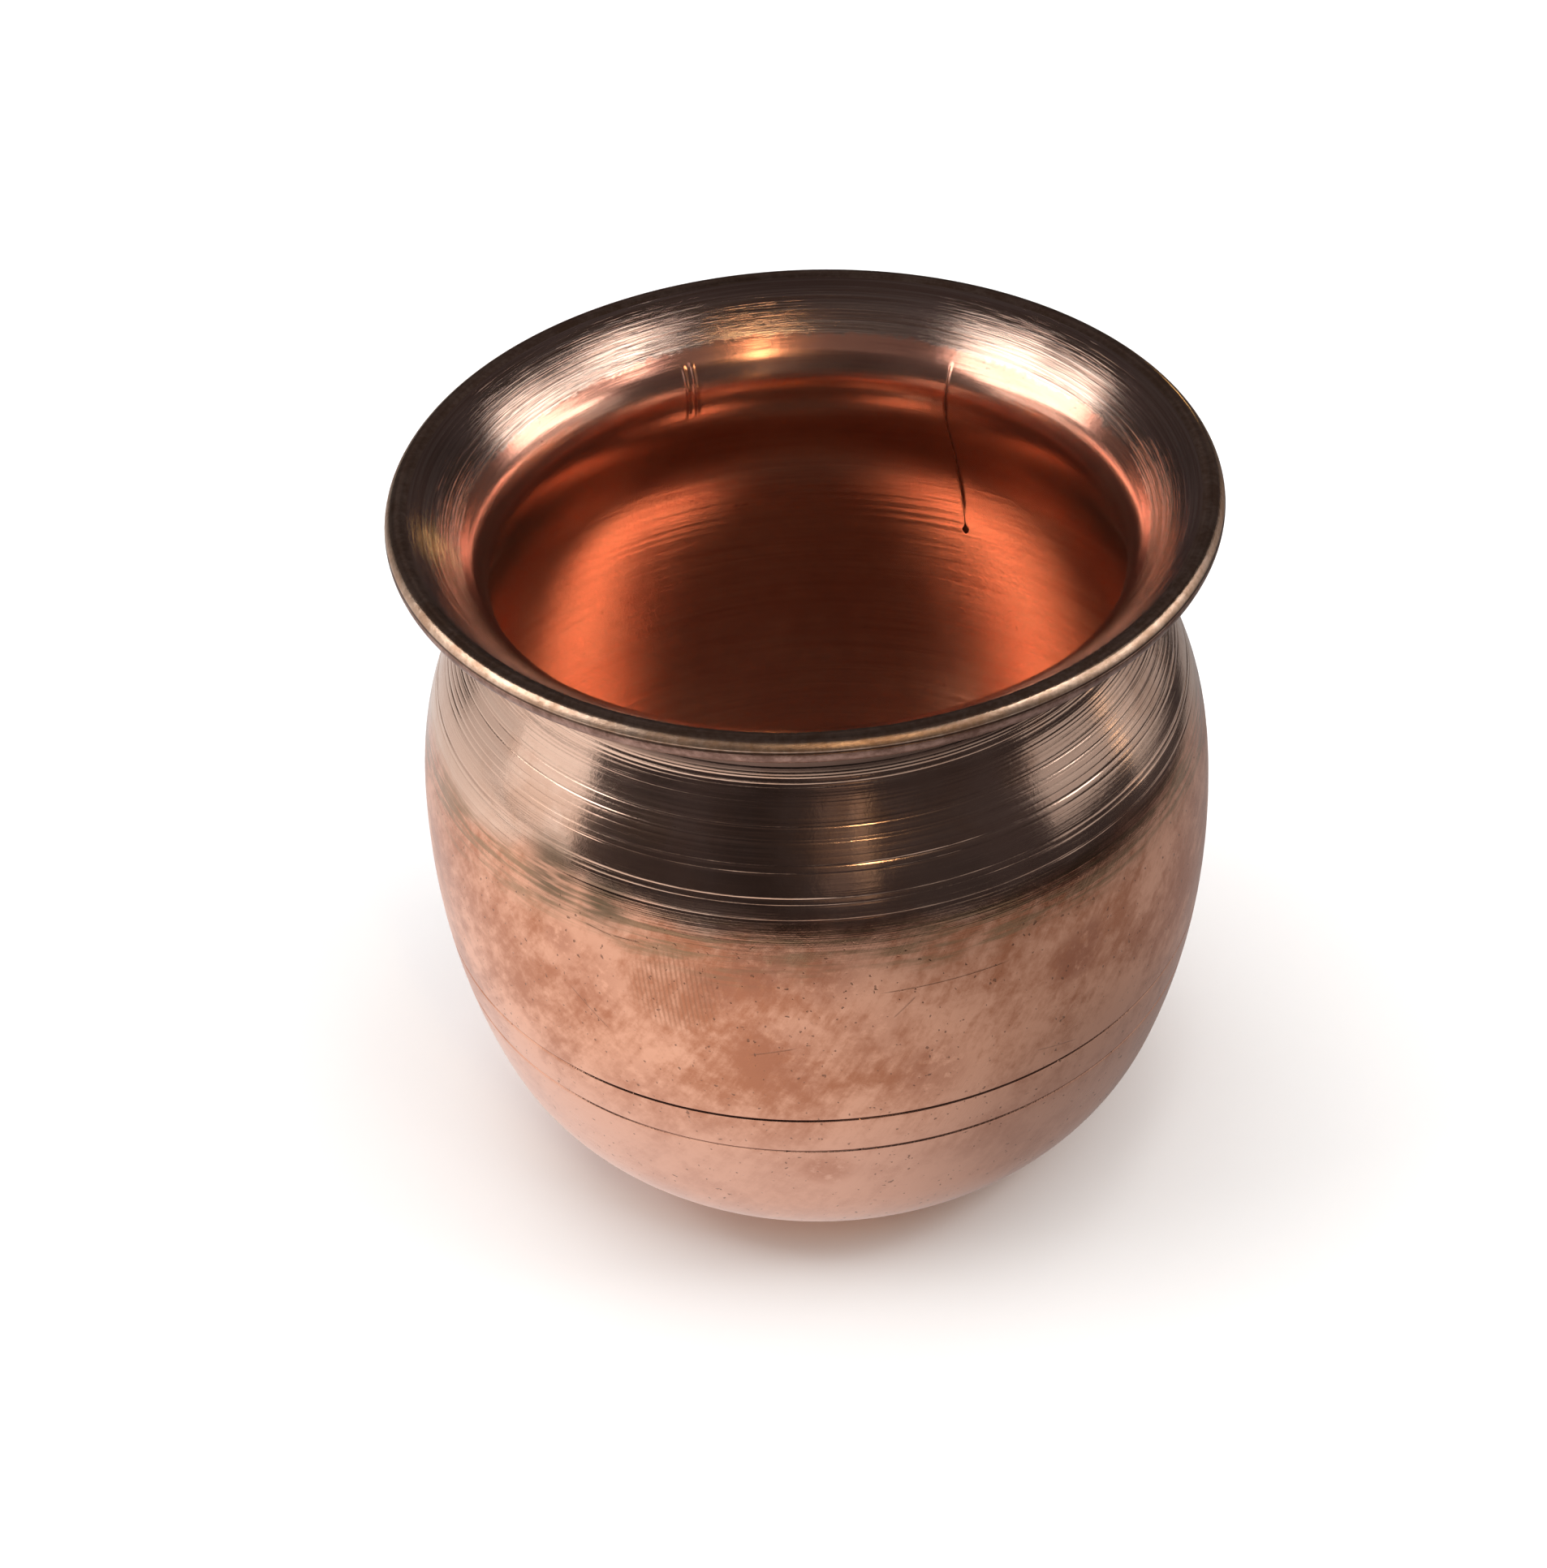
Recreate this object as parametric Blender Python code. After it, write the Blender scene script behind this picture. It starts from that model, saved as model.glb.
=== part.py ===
"""A small sheet-copper lota: a round water pot with a flared mouth and a flat base.

Metres, +Z up. The origin is the middle of the flat base, on the surface that the pot stands on.
The pot is turned about the Z axis, and its brazed side seam is to the right of the +Y direction.
An outline is a list of (radius, depth) points, with depth measured down from the top of the rim.
"""

import math

import bmesh
import bpy

# Overall size
HEIGHT = 0.091
RIM_RADIUS = 0.050
SHEET = 0.0011

# Mouth: a flare whose edge is rolled over a wire. Roll angles run from +X round to +Z.
ROLL_RADIUS = 0.0017
ROLL_SHEET = 0.00055  # the sheet thins where it is rolled
WIRE_RADIUS = 0.0008
ROLL_START = math.radians(114)  # where the flare's upper face runs into the roll
ROLL_START_INSIDE = math.radians(170)  # the same on the face against the wire
ROLL_END = math.radians(-130)  # the sheet's free edge, under the flare
THROAT_RADIUS = 0.04025
THROAT_DEPTH = 0.00655
FLARE_HANDLES = ((RIM_RADIUS - 0.0058, 0.0017), (THROAT_RADIUS + 0.0019, THROAT_DEPTH - 0.00223))
UNDERSIDE_CROWN = (RIM_RADIUS - 0.0096, 0.0055)

# Neck and body, measured on the outside. A slope is the change of radius with depth.
NECK_RADIUS = 0.0396
NECK_DEPTH = 0.0105
NECK_EASE = 0.00015  # the curves above the neck turn upright this far above its narrowest part
INNER_NECK_HANDLE = (THROAT_RADIUS - 0.00115, THROAT_DEPTH + 0.00135)
SHOULDER_RADIUS = 0.04325
SHOULDER_DEPTH = 0.0200
SHOULDER_SLOPE = 0.58
BELLY_TOP_RADIUS = 0.0475
BELLY_TOP_DEPTH = 0.0300
BELLY_TOP_SLOPE = 0.26
BELLY_RADIUS = 0.0491
BELLY_DEPTH = 0.0455
TURN_RADIUS = 0.0444  # where the side turns in towards the base
TURN_DEPTH = 0.0750
TURN_SLOPE = -0.34
TURN_EASE = 0.0076  # how far the side runs on in the same direction before it turns in
BASE_RADIUS = 0.0235  # of the flat that the pot stands on
BASE_EASE = 0.012  # how far outside the flat the turn is already level

# Joints between the bowl and the upper body, and down the upper body's side
JOINT_DEPTH = 0.0390
RING_HEIGHT = 0.0008
SEAM_ANGLE = math.radians(63.5)  # from +X towards +Y
SEAM_WIDTH = 0.0009
FILLER_INSET = 0.00015  # how far the brazing filler lies under each face of the sheet
GAP = 0.0003  # between neighbouring pieces
CUTTER_REACH = 0.005  # how far the cutter of the seam's slot stands out of the sheet

# Engraved lines round the outside
UPPER_LINE_DEPTHS = (0.0224, 0.0258)
LOWER_LINE_DEPTHS = (0.0580, 0.0640)
LINE_WIDTH = 0.0008
LINE_CUT = 0.0003

SIDES = 64  # facets round the pot
COPPER = (0.75, 0.40, 0.28)
WIRE_COPPER = (0.55, 0.28, 0.17)
BRAZE = (0.32, 0.19, 0.11)

ROLL_CENTRE = (RIM_RADIUS - ROLL_RADIUS, ROLL_RADIUS)
UPPER_EDGE_DEPTH = JOINT_DEPTH - RING_HEIGHT / 2 - GAP
LOWER_EDGE_DEPTH = JOINT_DEPTH + RING_HEIGHT / 2 + GAP


def clear_scene():
    for old in list(bpy.data.objects):
        bpy.data.objects.remove(old, do_unlink=True)


def make_material(name, colour, roughness):
    material = bpy.data.materials.new(name)
    material.use_nodes = True
    shader = material.node_tree.nodes["Principled BSDF"]
    shader.inputs["Base Color"].default_value = (*colour, 1)
    shader.inputs["Metallic"].default_value = 1
    shader.inputs["Roughness"].default_value = roughness
    return material


def side_radius(depth):
    """The body's outer radius, on a smooth curve from the neck to where it turns in to the base."""
    knots = (
        (NECK_DEPTH, NECK_RADIUS, 0),
        (SHOULDER_DEPTH, SHOULDER_RADIUS, SHOULDER_SLOPE),
        (BELLY_TOP_DEPTH, BELLY_TOP_RADIUS, BELLY_TOP_SLOPE),
        (BELLY_DEPTH, BELLY_RADIUS, 0),
        (TURN_DEPTH, TURN_RADIUS, TURN_SLOPE),
    )
    above, below = next(
        pair for pair in zip(knots, knots[1:]) if depth <= pair[1][0] or pair[1] is knots[-1]
    )
    width = below[0] - above[0]
    t = (depth - above[0]) / width
    ends = above[1] * (1 + 2 * t) * (1 - t) ** 2 + below[1] * t * t * (3 - 2 * t)
    return ends + width * (above[2] * t * (1 - t) ** 2 + below[2] * t * t * (t - 1))


def engraved(depth, line_depths):
    """The depth's share of a V-shaped engraved line: 1 at its bottom, 0 off the lines."""
    nearest = min(abs(depth - line) for line in line_depths)
    return max(0.0, 1 - nearest / (LINE_WIDTH / 2))


def side(top, bottom, steps, line_depths):
    """The outer side from one depth to another, with the engraved lines cut into it."""
    depths = {top + (bottom - top) * k / steps for k in range(steps + 1)}
    half = LINE_WIDTH / 2
    for line in line_depths:
        depths = {d for d in depths if abs(d - line) > LINE_WIDTH}
        depths |= {line - half, line, line + half}
    return [(side_radius(d) - LINE_CUT * engraved(d, line_depths), d) for d in sorted(depths)]


def plain_side(top, bottom, steps):
    depths = [top + (bottom - top) * k / steps for k in range(steps + 1)]
    return [(side_radius(d), d) for d in depths]


def bezier(start, handle_a, handle_b, end, steps):
    """Points on a cubic Bezier curve, both ends included."""
    points = []
    for k in range(steps + 1):
        t = k / steps
        weights = ((1 - t) ** 3, 3 * t * (1 - t) ** 2, 3 * t * t * (1 - t), t**3)
        corners = (start, handle_a, handle_b, end)
        points.append(tuple(sum(w * c[i] for w, c in zip(weights, corners)) for i in (0, 1)))
    return points


def roll_point(radius, angle):
    return (
        ROLL_CENTRE[0] + radius * math.cos(angle),
        ROLL_CENTRE[1] - radius * math.sin(angle),
    )


def roll_arc(radius, start, end, steps):
    return [roll_point(radius, start + (end - start) * k / steps) for k in range(steps + 1)]


def inward(points, distance):
    """The line of points moved towards the inside of the pot, square to its own run."""
    moved = []
    for k, (radius, depth) in enumerate(points):
        before = points[max(k - 1, 0)]
        after = points[min(k + 1, len(points) - 1)]
        run = (after[0] - before[0], after[1] - before[1])
        length = math.hypot(*run)
        moved.append((radius - distance * run[1] / length, depth + distance * run[0] / length))
    return moved


def flare_top():
    """The flare's upper face, from the roll down to the throat, crowned a little."""
    start = roll_point(ROLL_RADIUS, ROLL_START)
    return bezier(start, *FLARE_HANDLES, (THROAT_RADIUS, THROAT_DEPTH), 6)


def flare_underside():
    """From the face against the wire, under the flare, to the narrowest part of the neck."""
    start = roll_point(ROLL_RADIUS - ROLL_SHEET, ROLL_START_INSIDE)
    above_neck = (NECK_RADIUS, NECK_DEPTH - NECK_EASE)
    return bezier(start, UNDERSIDE_CROWN, above_neck, (NECK_RADIUS, NECK_DEPTH), 8)


def inner_neck(throat, neck):
    """From the throat's lip down to the narrowest part of the neck, inside the pot."""
    return bezier(throat, INNER_NECK_HANDLE, (neck[0], NECK_DEPTH - NECK_EASE), neck, 4)


def base_turn():
    """From the side's lower end, round to the edge of the flat base."""
    handle = (TURN_RADIUS + TURN_SLOPE * TURN_EASE, TURN_DEPTH + TURN_EASE)
    start = (TURN_RADIUS, TURN_DEPTH)
    return bezier(start, handle, (BASE_RADIUS + BASE_EASE, HEIGHT), (BASE_RADIUS, HEIGHT), 7)


def lathe(name, outline, material):
    """Turns a closed outline about Z. Outline points on the axis become single points."""
    mesh = bmesh.new()
    rings = []
    for radius, depth in outline:
        if radius == 0:
            rings.append([mesh.verts.new((0, 0, HEIGHT - depth))] * SIDES)
            continue
        turn = [2 * math.pi * k / SIDES for k in range(SIDES)]
        rings.append(
            [mesh.verts.new((radius * math.cos(a), radius * math.sin(a), HEIGHT - depth)) for a in turn]
        )
    for ring, following in zip(rings, rings[1:] + rings[:1]):
        for k in range(SIDES):
            corners = [ring[k], following[k], following[k - SIDES + 1], ring[k - SIDES + 1]]
            unique = list(dict.fromkeys(corners))
            if len(unique) > 2:
                mesh.faces.new(unique)
    return finish(name, mesh, material)


def finish(name, mesh, material):
    """Turns a bmesh into a smooth-shaded object of one material."""
    bmesh.ops.recalc_face_normals(mesh, faces=mesh.faces)
    data = bpy.data.meshes.new(name)
    mesh.to_mesh(data)
    mesh.free()
    data.shade_smooth()
    data.set_sharp_from_angle(angle=math.radians(40))
    data.materials.append(material)
    made = bpy.data.objects.new(name, data)
    bpy.context.scene.collection.objects.link(made)
    return made


def upper_body(material):
    """Belly, shoulder, neck and rolled mouth: one strip of sheet, with a slot where its ends meet."""
    outside = side(NECK_DEPTH, UPPER_EDGE_DEPTH, 9, UPPER_LINE_DEPTHS)
    inside = inward(plain_side(NECK_DEPTH, UPPER_EDGE_DEPTH, 8), SHEET)
    roll_inside = roll_arc(ROLL_RADIUS - ROLL_SHEET, ROLL_START_INSIDE, ROLL_END, 9)
    roll_outside = roll_arc(ROLL_RADIUS, ROLL_END, ROLL_START, 10)
    mouth = flare_underside()[::-1] + roll_inside[1:] + roll_outside + flare_top()[1:]
    neck = inner_neck(mouth[-1], inside[0])
    body = lathe("upper_body", outside[:0:-1] + mouth + neck[1:-1] + inside, material)
    slot = body.modifiers.new("seam slot", "BOOLEAN")
    slot.operation = "DIFFERENCE"
    slot.object = seam_cutter()
    return body


def seam_box(name, width, inner_radius, outer_radius, top, bottom):
    """A box across the wall at the seam, between two radii and two depths."""
    mesh = bmesh.new()
    bmesh.ops.create_cube(mesh, size=1)
    for vertex in mesh.verts:
        vertex.co.x = outer_radius if vertex.co.x > 0 else inner_radius
        vertex.co.y *= width
        vertex.co.z = HEIGHT - (top if vertex.co.z > 0 else bottom)
    data = bpy.data.meshes.new(name)
    mesh.to_mesh(data)
    mesh.free()
    made = bpy.data.objects.new(name, data)
    made.rotation_euler.z = SEAM_ANGLE
    bpy.context.scene.collection.objects.link(made)
    return made


def seam_cutter():
    """A box through the wall, wider than the seam by a gap on each side, and open at the lower edge."""
    width = SEAM_WIDTH + 2 * GAP
    inner_radius, outer_radius = NECK_RADIUS - CUTTER_REACH, BELLY_RADIUS + CUTTER_REACH
    below = UPPER_EDGE_DEPTH + CUTTER_REACH
    cutter = seam_box("seam_cutter", width, inner_radius, outer_radius, NECK_DEPTH - GAP, below)
    cutter.hide_render = True
    cutter.display_type = "WIRE"
    return cutter


def side_seam_braze(material):
    """The strip of filler in the side seam, following the wall from the neck to the belly joint."""
    wall = plain_side(NECK_DEPTH, UPPER_EDGE_DEPTH, 12)
    faces = inward(wall, FILLER_INSET) + inward(wall, SHEET - FILLER_INSET)[::-1]
    mesh = bmesh.new()
    half = SEAM_WIDTH / 2
    near, far = (
        [mesh.verts.new((radius, across, HEIGHT - depth)) for radius, depth in faces]
        for across in (-half, half)
    )
    count = len(faces)
    for k in range(count // 2 - 1):
        opposite = count - 1 - k
        for row in (near, far):
            mesh.faces.new([row[k], row[k + 1], row[opposite - 1], row[opposite]])
    for k in range(count):
        following = (k + 1) % count
        mesh.faces.new([near[k], near[following], far[following], far[k]])
    strip = finish("side_seam_braze", mesh, material)
    strip.rotation_euler.z = SEAM_ANGLE
    return strip


def belly_joint_braze(material):
    """The ring of filler between the bowl's edge and the upper body's."""
    top = JOINT_DEPTH - RING_HEIGHT / 2
    wall = plain_side(top, top + RING_HEIGHT, 1)
    faces = inward(wall, FILLER_INSET) + inward(wall, SHEET - FILLER_INSET)[::-1]
    return lathe("belly_joint_braze", faces, material)


def lower_bowl(material):
    """The lower belly and the flat base, drawn from one disc of sheet."""
    outside = side(LOWER_EDGE_DEPTH, TURN_DEPTH, 6, LOWER_LINE_DEPTHS) + base_turn()[1:]
    plain = plain_side(LOWER_EDGE_DEPTH, TURN_DEPTH, 6) + base_turn()[1:]
    inside = inward(plain, SHEET)
    inside[-1] = (inside[-1][0], HEIGHT - SHEET)
    outline = outside + [(0, HEIGHT), (0, HEIGHT - SHEET)] + inside[::-1]
    return lathe("lower_bowl", outline, material)


def rim_wire(material):
    bead = 8
    outline = [
        roll_point(WIRE_RADIUS, 2 * math.pi * (k + 0.5) / bead) for k in range(bead)
    ]
    return lathe("rim_wire", outline, material)


def main():
    clear_scene()
    copper = make_material("turned_copper", COPPER, 0.25)
    braze = make_material("brazing_filler", BRAZE, 0.5)
    upper_body(copper)
    lower_bowl(copper)
    side_seam_braze(braze)
    belly_joint_braze(braze)
    rim_wire(make_material("rim_wire_copper", WIRE_COPPER, 0.35))


main()
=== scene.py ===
"""The looks of a small turned copper lota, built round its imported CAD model.

Metres, +Z up, the pot standing on z = 0 and turned about the Z axis. Outlines are (radius, depth) points.
A depth is measured down from the top of the rim.
"""

import math

import bpy
import numpy as np
from mathutils import Matrix, Vector


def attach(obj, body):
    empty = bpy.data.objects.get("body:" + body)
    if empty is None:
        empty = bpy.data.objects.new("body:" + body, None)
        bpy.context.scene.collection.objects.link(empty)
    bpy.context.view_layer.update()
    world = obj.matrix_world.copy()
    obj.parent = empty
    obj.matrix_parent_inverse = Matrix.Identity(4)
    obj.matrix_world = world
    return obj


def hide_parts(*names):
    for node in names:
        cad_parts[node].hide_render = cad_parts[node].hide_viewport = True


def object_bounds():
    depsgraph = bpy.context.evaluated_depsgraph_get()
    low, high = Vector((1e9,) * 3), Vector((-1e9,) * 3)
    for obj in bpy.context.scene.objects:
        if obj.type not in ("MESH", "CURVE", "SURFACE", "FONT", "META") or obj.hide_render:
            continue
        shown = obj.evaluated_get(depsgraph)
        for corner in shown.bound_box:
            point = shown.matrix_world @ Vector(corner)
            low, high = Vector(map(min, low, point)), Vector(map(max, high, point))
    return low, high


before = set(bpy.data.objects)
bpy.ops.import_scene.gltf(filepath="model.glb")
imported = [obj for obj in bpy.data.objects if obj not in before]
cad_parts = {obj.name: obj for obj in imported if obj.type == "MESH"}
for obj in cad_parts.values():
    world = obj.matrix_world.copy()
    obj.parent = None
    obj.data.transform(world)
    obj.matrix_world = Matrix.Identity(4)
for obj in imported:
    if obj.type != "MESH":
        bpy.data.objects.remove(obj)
CAD_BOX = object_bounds()
RIM_RADIUS = CAD_BOX[1].x
HEIGHT = CAD_BOX[1].z

# The CAD profile's driving dimensions, in metres
SHEET = 0.0011
ROLL_RADIUS = 0.0017
ROLL_SHEET = 0.00055
ROLL_START = math.radians(114)
ROLL_START_INSIDE = math.radians(170)
ROLL_END = math.radians(-130)
ROLL_CENTRE = (RIM_RADIUS - ROLL_RADIUS, ROLL_RADIUS)
THROAT_RADIUS = 0.04025
THROAT_DEPTH = 0.00655
SIDE_KNOTS = (  # depth, outer radius, change of radius with depth
    (0.0105, 0.0396, 0),
    (0.0200, 0.04325, 0.58),
    (0.0300, 0.0475, 0.26),
    (0.0455, 0.0491, 0),
    (0.0750, 0.0444, -0.34),
)
NECK_DEPTH, NECK_RADIUS = SIDE_KNOTS[0][:2]
TURN_DEPTH, TURN_RADIUS, TURN_SLOPE = SIDE_KNOTS[-1]
BASE_RADIUS = 0.0235
JOINT_DEPTH = 0.0390
SEAM_ANGLE = math.radians(63.5)
SEAM_LEAN = math.radians(-2.4)  # of the seam's upper end, at the throat
FLAW_ANGLE = math.radians(111)  # a pinched mark inside the neck

# Handles of the profile's curves, as (radius, depth) points
FLARE_CROWN = (RIM_RADIUS - 0.0058, 0.0017)
FLARE_LIP = (THROAT_RADIUS + 0.0019, THROAT_DEPTH - 0.00223)
UNDERSIDE_CROWN = (RIM_RADIUS - 0.0096, 0.0055)
UNDERSIDE_END = (NECK_RADIUS, NECK_DEPTH - 0.0001)
THROAT_HANDLE = (0.0391, 0.0079)
INNER_NECK_HANDLE = (NECK_RADIUS - SHEET, NECK_DEPTH - 0.00015)
TURN_REACH = 0.0076
TURN_HANDLE = (TURN_RADIUS + TURN_SLOPE * TURN_REACH, TURN_DEPTH + TURN_REACH)
BASE_HANDLE = (BASE_RADIUS + 0.012, HEIGHT)

# Turned and engraved lines on the outside: (depth, half width, cut), metres
ENGRAVED = (
    (0.0153, 0.00013, 0.00002),
    (0.0212, 0.00010, 0.00002),
    (0.0221, 0.00012, 0.00005),
    (0.0229, 0.00012, 0.00003),
    (0.0256, 0.00013, 0.00005),
    (0.0263, 0.00012, 0.00003),
    (0.0280, 0.00012, 0.00002),
    (0.0580, 0.00016, 0.00015),
    (0.0640, 0.00018, 0.00020),
)
DEEP_CUT = 0.0001  # a deeper line is even and dark; a shallower one comes and goes round the pot
TURNING_PITCH = 0.00052
TURNING_CUT = 0.00005
TURNING_DEPTHS = (0.0115, 0.0208)  # the zone of plain turning marks
FULL_TURN = 6.28  # radians, the range of a random phase

# Mesh steps
SEGMENTS = 190  # round the pot
FINE_ZONES = (  # finer steps round the pot: middle, reach to each side, number of steps
    (SEAM_ANGLE + SEAM_LEAN / 2, 0.040, 21),
    (FLAW_ANGLE, 0.030, 15),
)
LINE_STEPS = np.linspace(-2.2, 2.2, 9)  # down the outline across a line, in its half widths
SHARP_ANGLE = math.radians(32)


# Outlines -------------------------------------------------------------------------------------------


def side_radius(depth):
    """The body's outer radius at each depth, from the neck to where it turns in to the base."""
    depth = np.asarray(depth, float)
    radius = np.zeros_like(depth)
    for (d0, r0, s0), (d1, r1, s1) in zip(SIDE_KNOTS, SIDE_KNOTS[1:]):
        width = d1 - d0
        t = (depth - d0) / width
        curve = r0 * (1 + 2 * t) * (1 - t) ** 2 + r1 * t * t * (3 - 2 * t)
        curve += width * (s0 * t * (1 - t) ** 2 + s1 * t * t * (t - 1))
        inside = (depth >= d0) & (depth <= d1) if d1 != TURN_DEPTH else depth >= d0
        radius = np.where(inside, curve, radius)
    return radius


def side(top, bottom, step, fine=None):
    """The body's outline. A fine step is used in the turned zone and close to the engraved lines."""
    depth = np.linspace(top, bottom, max(2, round((bottom - top) / step) + 1))
    if fine:
        turned = np.arange(*TURNING_DEPTHS, fine)
        lines = [line + half * LINE_STEPS for line, half, _ in ENGRAVED]
        extra = np.concatenate([turned, *lines])
        extra = extra[(extra > top + fine / 3) & (extra < bottom - fine / 3)]
        depth = np.unique(np.concatenate([depth, extra]))
        depth = depth[np.r_[True, np.diff(depth) > fine / 6]]
        depth[-1] = bottom
    return np.column_stack([side_radius(depth), depth])


def bezier(start, handle_a, handle_b, end, step):
    """A curve between two points, led by two handles, in steps of about the given length."""
    corners = np.array([start, handle_a, handle_b, end])
    length = np.linalg.norm(np.diff(corners, axis=0), axis=1).sum()
    t = np.linspace(0, 1, max(3, round(length / step) + 1))[:, None]
    weights = np.hstack([(1 - t) ** 3, 3 * t * (1 - t) ** 2, 3 * t * t * (1 - t), t**3])
    return weights @ corners


def roll_arc(radius, start, end, step):
    """An arc of the rolled edge, round the rim wire."""
    angle = np.linspace(start, end, round(abs(end - start) * radius / step) + 1)
    across, down = ROLL_CENTRE
    return np.column_stack([across + radius * np.cos(angle), down - radius * np.sin(angle)])


def inward(points, distance):
    """The line of points moved towards the inside of the pot, square to its own run."""
    run = np.gradient(points, axis=0)
    run /= np.linalg.norm(run, axis=1)[:, None]
    return points + distance * np.column_stack([-run[:, 1], run[:, 0]])


def flare_top(step):
    """The flare's upper face, from the rolled edge down to the throat's lip."""
    start = roll_arc(ROLL_RADIUS, ROLL_START, ROLL_START, 1)[0]
    return bezier(start, FLARE_CROWN, FLARE_LIP, (THROAT_RADIUS, THROAT_DEPTH), step)


def flare_underside(step):
    """The flare's lower face, from inside the roll down to the narrowest part of the neck."""
    start = roll_arc(ROLL_RADIUS - ROLL_SHEET, ROLL_START_INSIDE, ROLL_START_INSIDE, 1)[0]
    return bezier(start, UNDERSIDE_CROWN, UNDERSIDE_END, (NECK_RADIUS, NECK_DEPTH), step)


def inner_neck(step):
    """From the throat's lip down to the narrowest part of the neck, inside."""
    end = (NECK_RADIUS - SHEET, NECK_DEPTH)
    return bezier((THROAT_RADIUS, THROAT_DEPTH), THROAT_HANDLE, INNER_NECK_HANDLE, end, step)


def base_turn(step):
    """From the low belly round to the edge of the flat base."""
    return bezier((TURN_RADIUS, TURN_DEPTH), TURN_HANDLE, BASE_HANDLE, (BASE_RADIUS, HEIGHT), step)


# Surface detail, as a change of radius at (angle, depth) --------------------------------------------


def smooth(x, low, high):
    """0 below low and 1 above high, with a soft step between them."""
    t = np.clip((x - low) / (high - low), 0, 1)
    return t * t * (3 - 2 * t)


def engraving(angle, depth):
    """Cuts of the engraved lines, whose strength wanders a little round the pot."""
    cut = np.zeros(np.broadcast(angle, depth).shape)
    for k, (line, half, deep) in enumerate(ENGRAVED):
        wander = 1 + 0.25 * np.sin(2 * angle + 1.7 * k) + 0.15 * np.sin(5 * angle + k)
        if deep < DEEP_CUT:
            wander *= 1 + 0.45 * np.sin(17 * angle + 2.3 * k) * np.sin(29 * angle + k)
        cut -= deep * wander * np.exp(-(((depth - line) / half) ** 2))
    return cut


def turning(angle, depth):
    """Fine lathe marks on the neck and shoulder. Each mark has its own depth and place."""
    draw = np.random.default_rng(11)
    top, bottom = TURNING_DEPTHS
    cut = np.zeros(np.broadcast(angle, depth).shape)
    count = round((bottom - top) / TURNING_PITCH)
    for k in range(count):
        line = top + (k + draw.uniform(-0.25, 0.25)) * TURNING_PITCH
        half = TURNING_PITCH * draw.uniform(0.16, 0.34)
        deep = TURNING_CUT * draw.uniform(0.4, 1.3)
        phase = draw.uniform(0, FULL_TURN)
        turns = draw.integers(1, 4)
        fade = 0.75 + 0.25 * np.sin(turns * angle + phase)
        cut -= deep * fade * np.exp(-(((depth - line) / half) ** 2))
    return cut


def dents(angle, depth, seed, size):
    """The slight waviness that hand work leaves, fading out at the rim."""
    draw = np.random.default_rng(seed)
    wave = np.zeros(np.broadcast(angle, depth).shape)
    for turns in (2, 3, 4, 5, 7, 9):
        phase = draw.uniform(0, FULL_TURN)
        drift = draw.uniform(-90, 90)
        wave += draw.normal() / turns * np.sin(turns * angle + phase + drift * depth)
    return size * wave * smooth(depth, 0.010, 0.030)


def offset(angle, line):
    """Angle past a line, from -pi to pi. It grows clockwise, seen from above."""
    return (line - angle + math.pi) % (2 * math.pi) - math.pi


def seam_angle(depth):
    """The seam leans a little over its upper half."""
    return SEAM_ANGLE + SEAM_LEAN * (1 - smooth(depth, THROAT_DEPTH, 0.030))


def seam_step(angle, depth):
    """The lapped wall at the side seam: a small step that dies away round the inside and near the joint."""
    past = offset(angle, seam_angle(depth))
    lap = smooth(past, 0, 0.008) * (1 - smooth(past, 0.05, 0.55))
    line = np.exp(-((past / 0.004) ** 2))
    below_throat = smooth(depth, 0.0050, 0.0085)
    above_joint = 1 - smooth(depth, JOINT_DEPTH - 0.008, JOINT_DEPTH - 0.001)
    return (0.00012 * lap * above_joint + 0.00003 * line) * below_throat


def outside_detail(angle, depth):
    return engraving(angle, depth) + turning(angle, depth) + dents(angle, depth, 3, 0.00006)


def inside_detail(angle, depth):
    seam = -seam_step(angle, depth) * (1 - smooth(depth, JOINT_DEPTH - 0.0006, JOINT_DEPTH))
    return seam + flaw(angle, depth) + rings(angle, depth) + dents(angle, depth, 5, 0.00011)


def rings(angle, depth):
    """Lathe rings inside, near the joint, which end at the seam and fade away on one side of it."""
    past = offset(angle, SEAM_ANGLE)
    near = smooth(past, -1.0, -0.3) * (1 - smooth(past, -0.02, 0))
    wall = smooth(depth, 0.0310, 0.0335) * (1 - smooth(depth, 0.0395, 0.0420))
    return 0.000022 * near * wall * np.sin(2 * math.pi * depth / 0.0014)


def flaw(angle, depth):
    """Two short grooves side by side, running down from the throat, with a burr at the top."""
    across = offset(angle, FLAW_ANGLE) * THROAT_RADIUS
    reach = smooth(depth, 0.0060, 0.0072) * (1 - smooth(depth, 0.0115, 0.0150))
    grooves = sum(np.exp(-(((across - place) / 0.00022) ** 2)) for place in (-0.0006, 0.0006))
    burr = np.exp(-((across / 0.0004) ** 2) - ((depth - 0.0070) / 0.0004) ** 2)
    return 0.00011 * grooves * reach - 0.00008 * burr


# Meshes ---------------------------------------------------------------------------------------------


def turned_angles():
    """Even steps round the pot, with finer ones across the side seam and the pinched mark."""
    even = np.linspace(0, 2 * math.pi, SEGMENTS, endpoint=False)
    fine = []
    for middle, reach, steps in FINE_ZONES:
        even = even[np.abs(offset(even, middle)) > reach + 0.002]
        fine.append(middle + np.linspace(-reach, reach, steps))
    return np.sort(np.concatenate([even, *fine]))


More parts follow.
